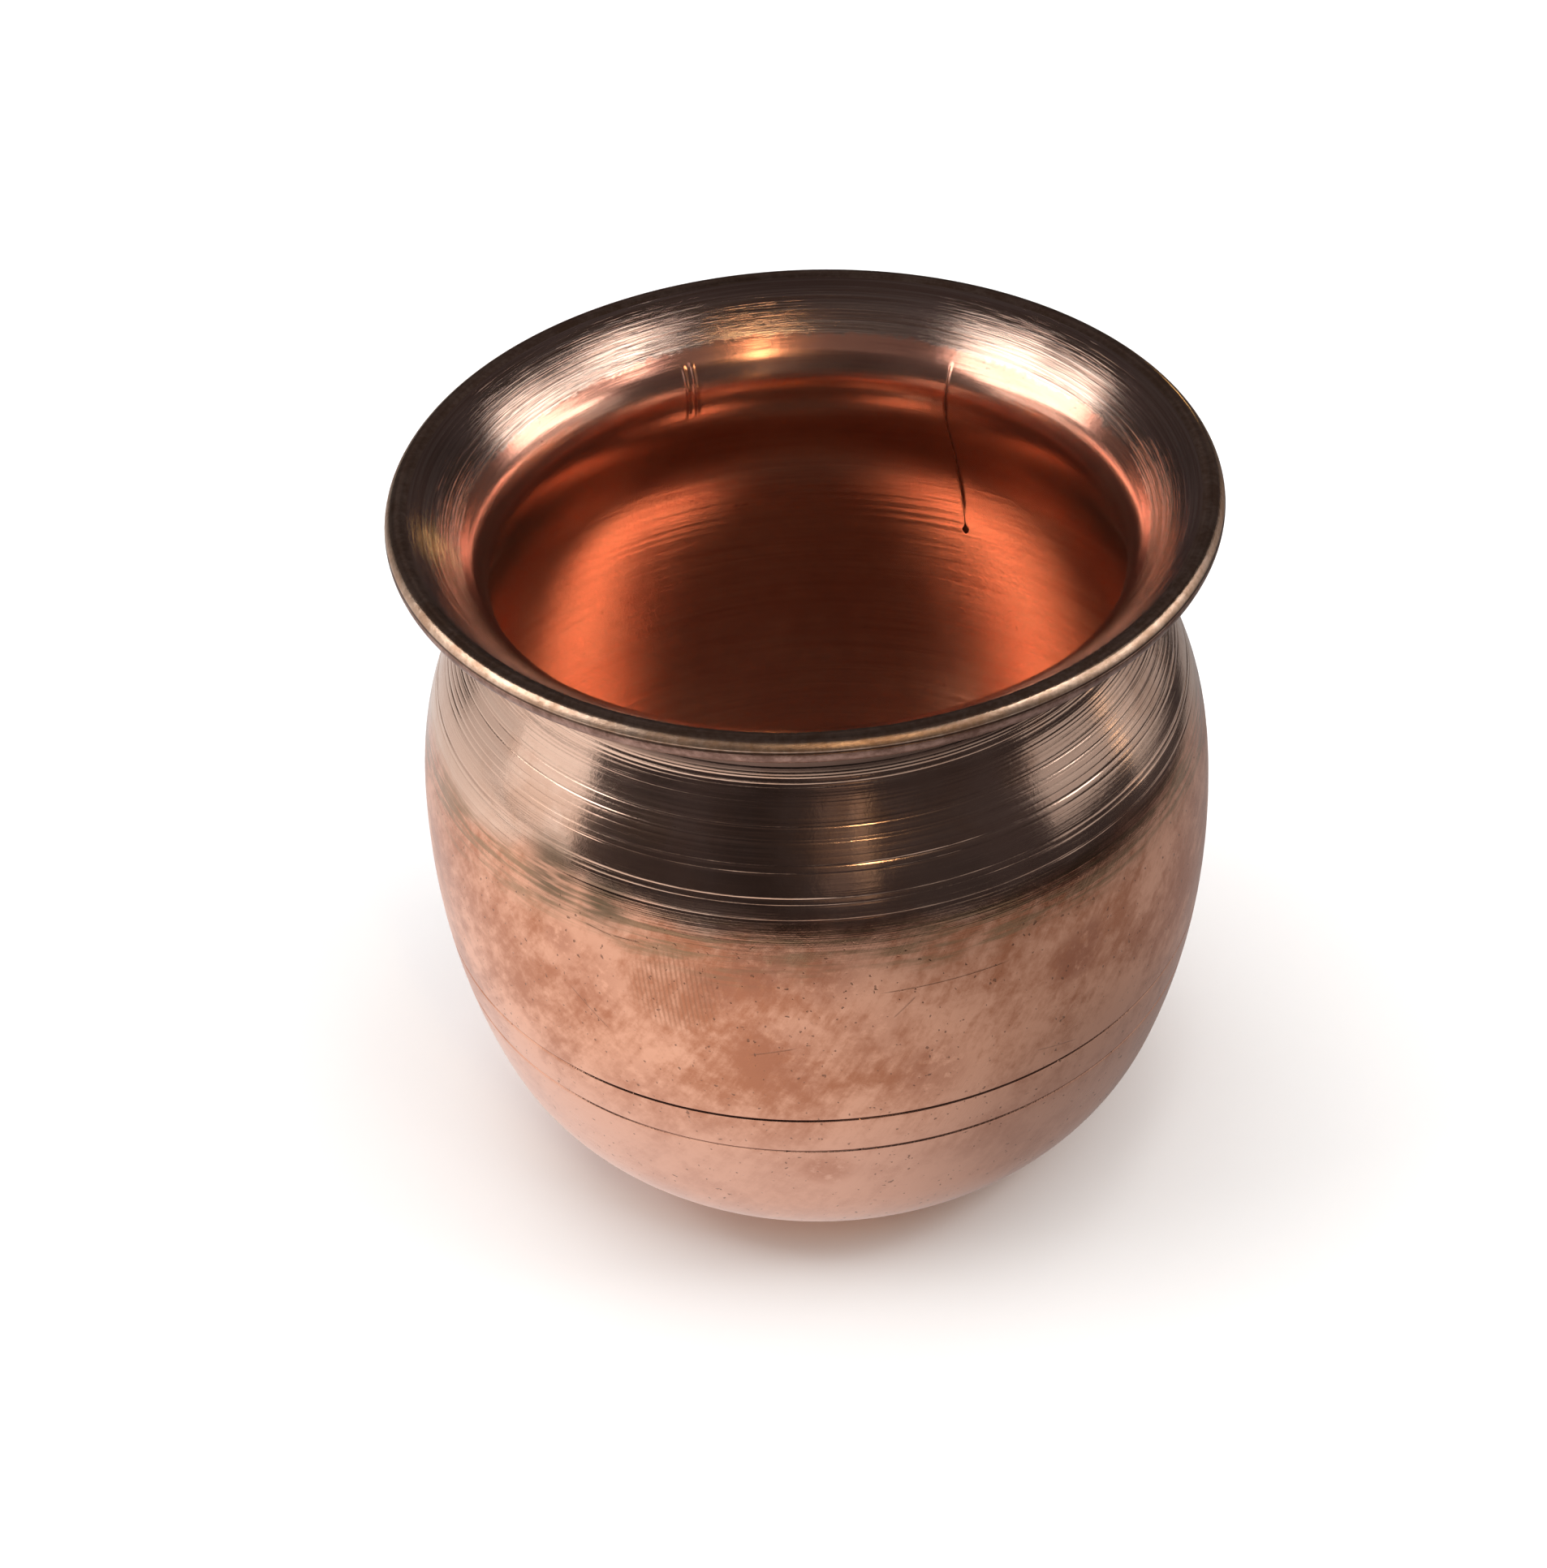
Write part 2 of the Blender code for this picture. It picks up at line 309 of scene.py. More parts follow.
def turned_shell(name, parts, materials):
    """A closed shell turned about Z. Parts are (outline, detail or None, material index), in a loop."""
    angles = turned_angles()
    count = len(angles)
    rows = []
    slots = []
    for outline, detail, slot in parts:
        radius = np.repeat(outline[:, :1], count, axis=1)
        depth = np.repeat(outline[:, 1:], count, axis=1)
        if detail is not None:
            radius = radius + detail(angles[None, :], depth)
        ring = np.stack([radius * np.cos(angles), radius * np.sin(angles), HEIGHT - depth], axis=2)
        rows.append(ring)
        slots += [slot] * len(outline)
    grid = np.concatenate(rows)
    here = np.arange(len(grid))[:, None] * count + np.arange(count)[None, :]
    after = np.roll(here, -1, axis=1)
    below = np.roll(here, -1, axis=0)
    below_after = np.roll(after, -1, axis=0)
    faces = np.stack([here, below, below_after, after], axis=2).reshape(-1, 4)
    return mesh_piece(name, grid.reshape(-1, 3), faces.tolist(), np.repeat(slots, count), materials)


def mesh_piece(name, points, faces, slots, materials):
    """A new object of the fixed body, smooth but for its sharp edges."""
    data = bpy.data.meshes.new(name)
    data.from_pydata(points.tolist(), [], faces)
    for material in materials:
        data.materials.append(material)
    data.polygons.foreach_set("material_index", np.asarray(slots, np.int32))
    data.validate()
    data.shade_smooth()
    data.set_sharp_from_angle(angle=SHARP_ANGLE)
    data.update()
    piece = bpy.data.objects.new(name, data)
    bpy.context.scene.collection.objects.link(piece)
    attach(piece, "root")
    return piece


def upper_body(outside, edge, inside):
    """The flared, rolled mouth, the neck, the shoulder and the upper belly."""
    under = flare_underside(0.0004)[::-1]
    roll_inside = roll_arc(ROLL_RADIUS - ROLL_SHEET, ROLL_START_INSIDE, ROLL_END, 0.0005)
    roll_outside = roll_arc(ROLL_RADIUS, ROLL_END, ROLL_START, 0.0002)
    top = flare_top(0.0003)
    wall = inward(side(NECK_DEPTH, JOINT_DEPTH, 0.0004), SHEET)
    wall[-1, 1] = JOINT_DEPTH
    outer_wall = side(NECK_DEPTH, JOINT_DEPTH, 0.00028, 0.00010)[::-1]
    parts = (
        (outer_wall[:-1], outside_detail, 0),
        (under, outside_detail, 0),
        (roll_inside[1:], None, 1),
        (roll_outside, None, 1),
        (top[1:], None, 2),
        (inner_neck(0.0003)[1:-1], inside_detail, 2),
        (wall, inside_detail, 2),
    )
    return turned_shell("turned_upper_body", parts, [outside, edge, inside])


def lower_bowl(outside, inside):
    """The lower belly and the flat base, which closes at a tiny hole on the axis."""
    outer_wall = np.vstack([side(JOINT_DEPTH, TURN_DEPTH, 0.0004, 0.00013), base_turn(0.0006)[1:]])
    plain = np.vstack([side(JOINT_DEPTH, TURN_DEPTH, 0.0008), base_turn(0.0008)[1:]])
    inner_wall = inward(plain, SHEET)
    inner_wall[0, 1] = JOINT_DEPTH
    inner_wall[-1, 1] = HEIGHT - SHEET
    hole = 0.0001
    steps = np.linspace(BASE_RADIUS, hole, 20)[1:]
    underside = np.column_stack([steps, np.full(len(steps), HEIGHT)])
    floor = np.column_stack([steps[::-1], np.full(len(steps), HEIGHT - SHEET)])
    parts = (
        (outer_wall, outside_detail, 0),
        (underside, None, 0),
        (floor, None, 1),
        (inner_wall[::-1], inside_detail, 1),
    )
    return turned_shell("turned_lower_bowl", parts, [outside, inside])


def inner_wall_radius(depth):
    """The radius of the plain inner wall at a depth between the throat and the low belly."""
    wall = inward(side(NECK_DEPTH, TURN_DEPTH, 0.00035), SHEET)
    line = np.vstack([inner_neck(0.0001)[:-1], wall])
    return np.interp(depth, line[:, 1], line[:, 0])


def seam_filler(material):
    """The filler standing in the side seam: an uneven line inside the pot, with a lump at its lower end."""
    draw = np.random.default_rng(21)
    top = THROAT_DEPTH + 0.0004
    bottom = JOINT_DEPTH - 0.0002
    depths = np.arange(top, bottom, 0.00025)
    count = len(depths)
    lump_height, lump_reach = 0.0009, 0.00060  # above the joint, and along the seam
    lump = np.exp(-(((depths - JOINT_DEPTH + lump_height) / lump_reach) ** 2))
    half = 0.00006 * draw.uniform(0.5, 1.5, count) + 0.00042 * lump
    proud = 0.00002 + 0.00002 * np.abs(draw.normal(size=count)) + 0.00030 * lump
    middle = seam_angle(depths)
    wall = inner_wall_radius(depths) + inside_detail(middle, depths)
    across = np.linspace(-1, 1, 7)
    least, root = 0.00001, 0.0003  # how far the line stands out at its sides, and how deep it goes
    face = wall[:, None] - proud[:, None] * (1 - across**2) - least
    back = np.repeat(wall[:, None] + root, 2, axis=1)
    radius = np.hstack([face, back])
    around = radius.shape[1]
    sideways = half[:, None] * np.append(across, [1, -1])
    angle = middle[:, None] + sideways / radius
    height = np.repeat(HEIGHT - depths[:, None], around, axis=1)
    points = np.stack([radius * np.cos(angle), radius * np.sin(angle), height], axis=2)
    here = np.arange((count - 1) * around).reshape(count - 1, around)
    after = np.roll(here, -1, axis=1)
    faces = np.stack([here, after, after + around, here + around], axis=2).reshape(-1, 4).tolist()
    faces.append(list(range(around))[::-1])
    faces.append(list(range((count - 1) * around, count * around)))
    return mesh_piece("seam_filler", points.reshape(-1, 3), faces, [0] * len(faces), [material])


def joint_filler(material):
    """The ring of filler in the joint between bowl and upper body, just under the surface inside."""
    half = 0.0004
    sunk, swell, root = 0.00014, 0.00003, 0.0006  # from the inner wall outwards, but for the swell
    t = np.linspace(0, math.pi, 9)
    inner = inner_wall_radius(JOINT_DEPTH)
    face = np.column_stack([inner + sunk - swell * np.sin(t), JOINT_DEPTH + half * np.cos(t)])
    back = np.array([[inner + root, JOINT_DEPTH - half], [inner + root, JOINT_DEPTH + half]])

    def uneven(angle, depth):
        past = offset(angle, SEAM_ANGLE)
        near_seam = smooth(past, -0.9, -0.2) * (1 - smooth(past, -0.01, 0.02))
        return inside_detail(angle, depth) - 0.00002 * near_seam * (1 + 0.4 * np.sin(23 * angle))

    return turned_shell("joint_filler", ((np.vstack([face, back]), uneven, 0),), [material])


# Materials ------------------------------------------------------------------------------------------

# Reddish stains on the outside: angle in degrees, depth, reach and strength
STAINS = (
    (-53.2, 0.0422, 0.0034, 0.8),
    (-50.5, 0.0400, 0.0020, 0.7),
    (-124.0, 0.0410, 0.0050, 0.35),
    (-129.0, 0.0370, 0.0022, 0.6),
    (-105.2, 0.0377, 0.0030, 0.55),
    (-99.0, 0.0345, 0.0040, 0.6),
    (-90.0, 0.0350, 0.0040, 0.5),
    (-97.0, 0.0470, 0.0050, 0.4),
    (-84.0, 0.0450, 0.0045, 0.3),
    (-76.2, 0.0515, 0.0042, 0.5),
    (-95.0, 0.0505, 0.0036, 0.35),
    (-91.5, 0.0677, 0.0030, 0.5),
    (-118.0, 0.0560, 0.0050, 0.3),
    (-30.0, 0.0480, 0.0060, 0.35),
    (150.0, 0.0450, 0.0070, 0.5),
    (70.0, 0.0520, 0.0060, 0.5),
    (20.0, 0.0600, 0.0050, 0.4),
    (-160.0, 0.0620, 0.0060, 0.4),
)
# Scratches on the outside: the two ends, each an angle in degrees and a depth
SCRATCHES = (
    ((-83.2, 0.0380), (-63.3, 0.0379)),
    ((-81.1, 0.0420), (-77.6, 0.0391)),
    ((-101.0, 0.0470), (-94.0, 0.0455)),
    ((-124.9, 0.0330), (-120.0, 0.0334)),
    ((-120.3, 0.0333), (-115.7, 0.0331)),
    ((-128.0, 0.0430), (-121.0, 0.0480)),
    ((-60.0, 0.0540), (-52.0, 0.0560)),
    ((100.0, 0.0440), (112.0, 0.0460)),
    ((10.0, 0.0480), (22.0, 0.0450)),
    ((175.0, 0.0530), (164.0, 0.0500)),
)


class Look:
    """A metal made of nodes, with a short call for each kind of node."""

    def __init__(self, name):
        self.material = bpy.data.materials.new(name)
        self.material.use_nodes = True
        self.tree = self.material.node_tree
        self.shader = self.tree.nodes["Principled BSDF"]
        self.shader.inputs["Metallic"].default_value = 1
        self.shader.inputs["Roughness"].default_value = 0.3
        place = self.tree.nodes.new("ShaderNodeTexCoord").outputs["Object"]
        split = self.tree.nodes.new("ShaderNodeSeparateXYZ")
        self.tree.links.new(place, split.inputs[0])
        self.place = place
        self.x, self.y, self.z = split.outputs
        self.radius = self.math("SQRT", self.math("ADD", self.power(self.x), self.power(self.y)))
        self.cosine = self.math("DIVIDE", self.x, self.radius)
        self.sine = self.math("DIVIDE", self.y, self.radius)

    def node(self, kind, values, output=0, **settings):
        """A node with its settings, whose inputs are linked or set, and its output socket."""
        made = self.tree.nodes.new(kind)
        for key, value in settings.items():
            setattr(made, key, value)
        for key, value in values.items():
            if isinstance(value, bpy.types.NodeSocket):
                self.tree.links.new(value, made.inputs[key])
            else:
                made.inputs[key].default_value = value
        return made.outputs[output]

    def math(self, operation, a, b=0.0, added=None, clamp=False):
        """A math node. Only MULTIPLY_ADD has a third value, which it adds."""
        values = {0: a, 1: b}
        if added is not None:
            values[2] = added
        return self.node("ShaderNodeMath", values, operation=operation, use_clamp=clamp)

    def from_place(self, operation, point):
        """The DISTANCE of the shaded place from a point, or its DOT_PRODUCT with a direction."""
        values = {0: self.place, 1: point}
        return self.node("ShaderNodeVectorMath", values, output="Value", operation=operation)

    def power(self, value, exponent=2):
        return self.math("POWER", self.math("ABSOLUTE", value), exponent)

    def fade(self, value, low, high, to_low=0.0, to_high=1.0):
        """A smooth step from one value to another between low and high."""
        values = {"Value": value, "From Min": low, "From Max": high, "To Min": to_low, "To Max": to_high}
        return self.node("ShaderNodeMapRange", values, interpolation_type="SMOOTHSTEP")

    def mix(self, factor, a, b):
        values = {0: factor, 6: a, 7: b}
        return self.node("ShaderNodeMix", values, output=2, data_type="RGBA", clamp_factor=True)

    def blend(self, factor, a, b):
        values = {0: factor, 2: a, 3: b}
        return self.node("ShaderNodeMix", values, output=0, data_type="FLOAT", clamp_factor=True)

    def vector(self, x, y, z):
        return self.node("ShaderNodeCombineXYZ", {0: x, 1: y, 2: z})

    def noise(self, vector, scale, detail=2.0, rough=0.5, distortion=0.0):
        values = {"Vector": vector, "Scale": scale, "Detail": detail, "Roughness": rough}
        values["Distortion"] = distortion
        return self.node("ShaderNodeTexNoise", values)

    def turned(self, run, around, along, detail=2.0, rough=0.5, shift=0.0):
        """Noise drawn out round the pot, as a lathe or a polishing wheel leaves it."""
        across = self.math("MULTIPLY_ADD", run, along, shift)
        spun = (self.math("MULTIPLY", side, around) for side in (self.cosine, self.sine))
        return self.noise(self.vector(*spun, across), 1.0, detail, rough)

    def spot(self, angle, depth, reach, edge):
        """1 near a point of the outside, given by its angle in degrees and depth, fading to 0."""
        turn = math.radians(angle)
        radius = float(side_radius(depth))
        centre = (radius * math.cos(turn), radius * math.sin(turn), HEIGHT - depth)
        away = self.from_place("DISTANCE", centre)
        return self.fade(away, reach * (1 - edge), reach * (1 + edge), 1, 0)

    def scratch(self, start, end, half_width):
        """1 along a straight scratch across the outside, between two (angle, depth) points."""
        a, b = (
            Vector((r * math.cos(math.radians(t)), r * math.sin(math.radians(t)), HEIGHT - d))
            for t, d in (start, end)
            for r in (float(side_radius(d)),)
        )
        middle = (a + b) / 2
        normal = (b - a).cross(Vector((middle.x, middle.y, 0))).normalized()
        along = self.from_place("DOT_PRODUCT", normal)
        off = self.math("ABSOLUTE", self.math("SUBTRACT", along, a.dot(normal)))
        line = self.fade(off, half_width * 0.5, half_width * 1.5, 1, 0)
        away = self.from_place("DISTANCE", middle)
        reach = (b - a).length / 2
        return self.math("MULTIPLY", line, self.fade(away, reach * 0.7, reach, 1, 0))

    def bump(self, height, distance, strength):
        values = {"Height": height, "Distance": distance, "Strength": strength}
        return self.node("ShaderNodeBump", values)

    def set(self, **inputs):
        for name, value in inputs.items():
            socket = self.shader.inputs[name.replace("_", " ")]
            if isinstance(value, bpy.types.NodeSocket):
                self.tree.links.new(value, socket)
            else:
                socket.default_value = value
        return self.material


def outside_copper():
    """Polished on the neck and shoulder, satin and stained on the belly."""
    look = Look("turned_copper_outside")
    depth = look.math("SUBTRACT", HEIGHT, look.z)
    cloud = look.noise(look.place, 55, 4, 0.6)
    mottle = look.noise(look.place, 190, 5, 0.65, 0.3)
    edge = look.math("MULTIPLY_ADD", look.math("SUBTRACT", cloud, 0.5), 0.010, depth)
    satin = look.fade(edge, 0.0295, 0.0345)
    bare = look.fade(edge, 0.0270, 0.0305)
    # Painted shade: the flare's underside and the top of the neck, under the rolled edge, are taken nearly
    # to black
    painted_cove_shade = look.fade(depth, 0.0117, 0.0131, 1, 0)

    slant = 0.55
    with_stroke = look.math("MULTIPLY_ADD", look.x, slant, look.z)
    over_stroke = look.math("MULTIPLY_ADD", look.z, -slant, look.x)

    def strokes(along, across, detail):
        """Noise drawn out along slanting strokes."""
        parts = (
            look.math("MULTIPLY", with_stroke, along),
            look.math("MULTIPLY", look.y, along),
            look.math("MULTIPLY", over_stroke, across),
        )
        return look.noise(look.vector(*parts), 1.0, detail, 0.6)

    rubbed = strokes(150, 800, 4)
    fibre = look.noise(look.place, 650, 4, 0.7, 0.4)
    stain = look.math("ADD", look.math("MULTIPLY", cloud, 0.4), look.math("MULTIPLY", mottle, 0.25))
    stain = look.math("ADD", stain, look.math("MULTIPLY", rubbed, 0.17))
    stain = look.math("ADD", stain, look.math("MULTIPLY", fibre, 0.18))
    pink = (0.87, 0.45, 0.30, 1)
    brown = (0.53, 0.21, 0.115, 1)
    belly = look.mix(look.fade(stain, 0.41, 0.57), brown, pink)
    lower = look.fade(edge, 0.050, 0.070)
    belly = look.mix(look.math("MULTIPLY", lower, 0.65), belly, (0.78, 0.44, 0.33, 1))
    turned = look.turned(look.z, 1.5, 1400, 3)
    polished = look.mix(turned, (0.74, 0.47, 0.35, 1), (0.87, 0.61, 0.47, 1))
    tarnish = look.fade(look.math("ADD", cloud, look.math("MULTIPLY", mottle, 0.6)), 0.75, 1.0, 0, 0.55)
    polished = look.mix(tarnish, polished, (0.64, 0.37, 0.25, 1))
    colour = look.mix(bare, polished, belly)
    streaky = look.turned(look.z, 5.0, 1300, 3, 0.6, 2.0)
    smear = look.fade(streaky, 0.42, 0.62)
    smear = look.math("MULTIPLY", smear, look.fade(depth, 0.0275, 0.0300))
    smear = look.math("MULTIPLY", smear, look.fade(edge, 0.0330, 0.0365, 1, 0))
    colour = look.mix(look.math("MULTIPLY", smear, 0.75), colour, (0.33, 0.21, 0.12, 1))
    smoke_left = look.spot(-131, 0.0284, 0.0038, 0.7)
    smoke_right = look.spot(-122, 0.0294, 0.0032, 0.7)
    smoke = look.math("MAXIMUM", smoke_left, smoke_right)
    smoke = look.math("MULTIPLY", smoke, look.fade(streaky, 0.30, 0.55, 0.25, 0.8))
    colour = look.mix(smoke, colour, (0.12, 0.09, 0.055, 1))

    ragged = look.noise(look.place, 600, 4, 0.7)
    reddish = 0.0
    for angle, down, reach, strength in STAINS:
        patch = look.math("MULTIPLY", look.spot(angle, down, reach, 0.6), strength)
        reddish = look.math("MAXIMUM", patch, reddish)
    reddish = look.math("MULTIPLY", reddish, look.fade(ragged, 0.32, 0.52), clamp=True)
    colour = look.mix(reddish, colour, (0.50, 0.20, 0.12, 1))

    scratches = 0.0
    for start, end in SCRATCHES:
        scratches = look.math("MAXIMUM", look.scratch(start, end, 0.00008), scratches)
    pits = look.fade(look.noise(look.place, 1500, 1, 0.5), 0.70, 0.77)
    pits = look.math("MULTIPLY", pits, satin)
    dark = look.math("ADD", look.math("MULTIPLY", pits, 0.7), look.math("MULTIPLY", scratches, 0.38))
    colour = look.mix(dark, colour, (0.22, 0.11, 0.07, 1))

    ripple_angle = -111  # degrees
    ripple_turn = math.radians(ripple_angle)
    ripple_pitch = 0.00062
    across = look.from_place("DOT_PRODUCT", (-math.sin(ripple_turn), math.cos(ripple_turn), 0.12))
    wander = look.math("MULTIPLY_ADD", look.math("SUBTRACT", mottle, 0.5), 0.0004, across)
    ripple = look.math("SINE", look.math("MULTIPLY", wander, 2 * math.pi / ripple_pitch))
    ripple = look.fade(ripple, -0.4, 0.9)
    ripple = look.math("MULTIPLY", ripple, look.spot(ripple_angle, 0.0390, 0.0052, 0.35))
    colour = look.mix(look.math("MULTIPLY", ripple, 0.6), colour, (0.42, 0.19, 0.11, 1))

    lines = 0.0
    walls = 0.0
    for line, half, cut in ENGRAVED:
        if cut > DEEP_CUT:
            near = look.math("ABSOLUTE", look.math("SUBTRACT", depth, line))
            lines = look.math("MAXIMUM", look.fade(near, half * 0.2, half * 0.8, 1, 0), lines)
            walls = look.math("MAXIMUM", look.fade(near, half * 0.9, half * 1.6, 1, 0), walls)
    colour = look.mix(look.math("MULTIPLY", lines, 0.85), colour, (0.14, 0.07, 0.05, 1))

    fine = look.turned(look.z, 2.0, 5200, 2, 0.6)
    coarse = look.turned(look.z, 1.2, 1500, 3, 0.55, 7.0)
    hatch = look.math("MULTIPLY", strokes(380, 3200, 3), satin)
    height = look.math("ADD", look.math("MULTIPLY", coarse, 0.6), look.math("MULTIPLY", fine, 0.4))
    height = look.blend(satin, height, look.math("MULTIPLY", height, 0.35))
    height = look.math("ADD", height, look.math("MULTIPLY", hatch, 0.8))
    height = look.math("ADD", height, look.math("MULTIPLY", fibre, 0.6))
    height = look.math("ADD", height, look.math("MULTIPLY", mottle, 0.25))
    height = look.math("SUBTRACT", height, look.math("MULTIPLY", dark, 1.5))
    height = look.math("SUBTRACT", height, look.math("MULTIPLY", ripple, 0.8))
    normal = look.bump(height, 0.00004, 0.8)

    # Painted shade under the rolled edge: the cove at the top of the neck is darkened nearly to black
    colour = look.mix(look.math("MULTIPLY", painted_cove_shade, 0.9), colour, (0.09, 0.05, 0.04, 1))
    shine = look.blend(satin, 0.17, 0.30)
    shine = look.math("ADD", shine, look.math("MULTIPLY", look.math("SUBTRACT", mottle, 0.5), 0.12))
    shine = look.math("ADD", shine, look.math("MULTIPLY", reddish, 0.12))
    shine = look.math("ADD", shine, look.math("MULTIPLY", look.math("SUBTRACT", fine, 0.5), 0.10))
    shine = look.blend(walls, shine, 0.14)
    return look.set(Base_Color=colour, Roughness=shine, Normal=normal)


def mouth_and_inside_copper():
    """The flare's upper face is polished; below the throat the sheet keeps its red colour."""
    look = Look("mouth_and_inside_copper")
    depth = look.math("SUBTRACT", HEIGHT, look.z)
    ragged = look.noise(look.place, 900, 4, 0.7)
    patchy = look.noise(look.place, 120, 3, 0.5)
    edge = look.math("MULTIPLY_ADD", look.math("SUBTRACT", ragged, 0.5), 0.0016, depth)
    edge = look.math("ADD", edge, look.math("MULTIPLY", look.math("SUBTRACT", patchy, 0.5), 0.0014))
    raw = look.fade(edge, 0.0050, 0.0056)

    run = look.math("ADD", look.radius, look.z)
    brushed = look.turned(run, 1.6, 2600, 3, 0.6)
    grain = look.turned(run, 2.4, 9000, 3, 0.6, 1.0)
    wide = look.turned(run, 0.8, 500, 2, 0.5, 3.0)
    polished = look.mix(look.fade(brushed, 0.3, 0.7), (0.66, 0.41, 0.31, 1), (0.88, 0.64, 0.52, 1))
    red_cloud = look.noise(look.place, 85, 4, 0.6)
    red = look.mix(look.fade(red_cloud, 0.3, 0.7), (0.89, 0.50, 0.36, 1), (0.94, 0.59, 0.43, 1))
    streaks = look.turned(look.z, 2.2, 900, 3, 0.6, 5.0)
    red = look.mix(look.fade(streaks, 0.45, 0.75, 0, 0.4), red, (0.78, 0.38, 0.27, 1))
    lip = look.fade(edge, 0.0060, 0.0095, 1, 0)
    red = look.mix(look.math("MULTIPLY", lip, 0.75), red, (0.78, 0.32, 0.22, 1))
    specks = look.fade(look.noise(look.place, 1300, 2, 0.6), 0.68, 0.75)
    red = look.mix(look.math("MULTIPLY", specks, 0.45), red, (0.30, 0.09, 0.06, 1))
    colour = look.mix(raw, polished, red)

    height = look.math("ADD", look.math("MULTIPLY", brushed, 0.9), look.math("MULTIPLY", wide, 0.5))
    height = look.math("ADD", height, look.math("MULTIPLY", grain, 0.5))
    inside = look.math("ADD", look.math("MULTIPLY", streaks, 1.2), look.math("MULTIPLY", red_cloud, 0.6))
    height = look.blend(raw, height, inside)
    height = look.math("ADD", height, look.math("MULTIPLY", look.math("MULTIPLY", ragged, raw), 0.3))
    normal = look.bump(height, 0.00004, look.blend(raw, 1.0, 0.7))
    shine = look.blend(raw, 0.17, 0.21)
    shine = look.math("ADD", shine, look.math("MULTIPLY", look.math("SUBTRACT", grain, 0.5), 0.16))
    shine = look.math("ADD", shine, look.math("MULTIPLY", look.math("SUBTRACT", red_cloud, 0.5), 0.08))
    return look.set(Base_Color=colour, Roughness=shine, Normal=normal, Metallic=look.blend(raw, 1.0, 0.985))


def rolled_edge_copper():
    """Polished on top, grainy and dull in front, and brown below, with a fine dark line painted round it as
    a reflection of the dark room.
    """
    look = Look("rolled_edge_copper")
    depth = look.math("SUBTRACT", HEIGHT, look.z)
    grain = look.noise(look.place, 1300, 4, 0.65)
    patch = look.noise(look.place, 260, 3, 0.6)
    front = look.fade(depth, 0.00015, 0.0005)
    below = look.fade(depth, 0.0011, 0.0016)
    tone = look.fade(look.math("ADD", grain, patch), 0.75, 1.3)
    colour = look.mix(tone, (0.62, 0.38, 0.25, 1), (0.88, 0.62, 0.46, 1))
    colour = look.mix(below, colour, look.mix(tone, (0.22, 0.12, 0.09, 1), (0.42, 0.25, 0.20, 1)))
    # Painted reflection: a fine dark line round the roll's outer side stands for the dark room mirrored
    # there; it also cuts a slight groove in the bump
    off_painted_reflection_line = look.math("ABSOLUTE", look.math("SUBTRACT", depth, 0.0013))
    line = look.fade(off_painted_reflection_line, 0.00006, 0.00022, 1, 0)
    colour = look.mix(look.math("MULTIPLY", line, 0.85), colour, (0.08, 0.04, 0.03, 1))
    height = look.math("SUBTRACT", grain, line)
    normal = look.bump(height, 0.00008, look.blend(front, 0.15, 0.8))
    shine = look.blend(front, 0.16, look.fade(patch, 0.3, 0.7, 0.46, 0.34))
    return look.set(Base_Color=colour, Roughness=shine, Normal=normal)


def filler_metal():
    """Dull filler, brighter up the seam and dark at its lower end."""
    look = Look("brazing_filler")
    grain = look.noise(look.place, 900, 4, 0.7)
    lump = look.fade(look.z, HEIGHT - JOINT_DEPTH, HEIGHT - JOINT_DEPTH + 0.004, 1, 0)
    bright = look.mix(look.fade(grain, 0.35, 0.65), (0.38, 0.15, 0.09, 1), (0.70, 0.34, 0.23, 1))
    dark = look.mix(look.fade(grain, 0.35, 0.65), (0.14, 0.05, 0.03, 1), (0.34, 0.13, 0.08, 1))
    colour = look.mix(lump, bright, dark)
    return look.set(Base_Color=colour, Roughness=0.42, Normal=look.bump(grain, 0.00005, 0.8))


def joint_metal():
    """Filler rubbed over with the same red as the sheet, so that the joint hardly shows."""
    look = Look("joint_filler_copper")
    grain = look.noise(look.place, 500, 4, 0.7)
    colour = look.mix(look.fade(grain, 0.3, 0.7), (0.66, 0.31, 0.21, 1), (0.86, 0.47, 0.34, 1))
    return look.set(Base_Color=colour, Roughness=0.28, Normal=look.bump(grain, 0.00003, 0.5))


def wire_copper():
    """Drawn copper, which hides in the rolled edge."""
    look = Look("rim_wire_copper")
    drawn = look.turned(look.z, 3.0, 4000, 3, 0.6)
    stain = look.noise(look.place, 300, 3, 0.6)
    colour = look.mix(stain, (0.40, 0.20, 0.13, 1), (0.66, 0.36, 0.24, 1))
    return look.set(Base_Color=colour, Roughness=look.fade(drawn, 0.3, 0.7, 0.28, 0.42),
                    Normal=look.bump(drawn, 0.00002, 0.5))


# Camera, floor and lights ---------------------------------------------------------------------------

CAMERA_TILT = math.radians(36.21)  # below level
CAMERA_ROLL = math.radians(-2.53)
CAMERA_REACH = (-0.0022, -0.0133, 0.4345)  # the rim's centre from the camera: right, down, forward
LENS = 83.85
SHIFT = (-0.031, -0.121)
RIM_CENTRE = Vector((0, 0, HEIGHT))


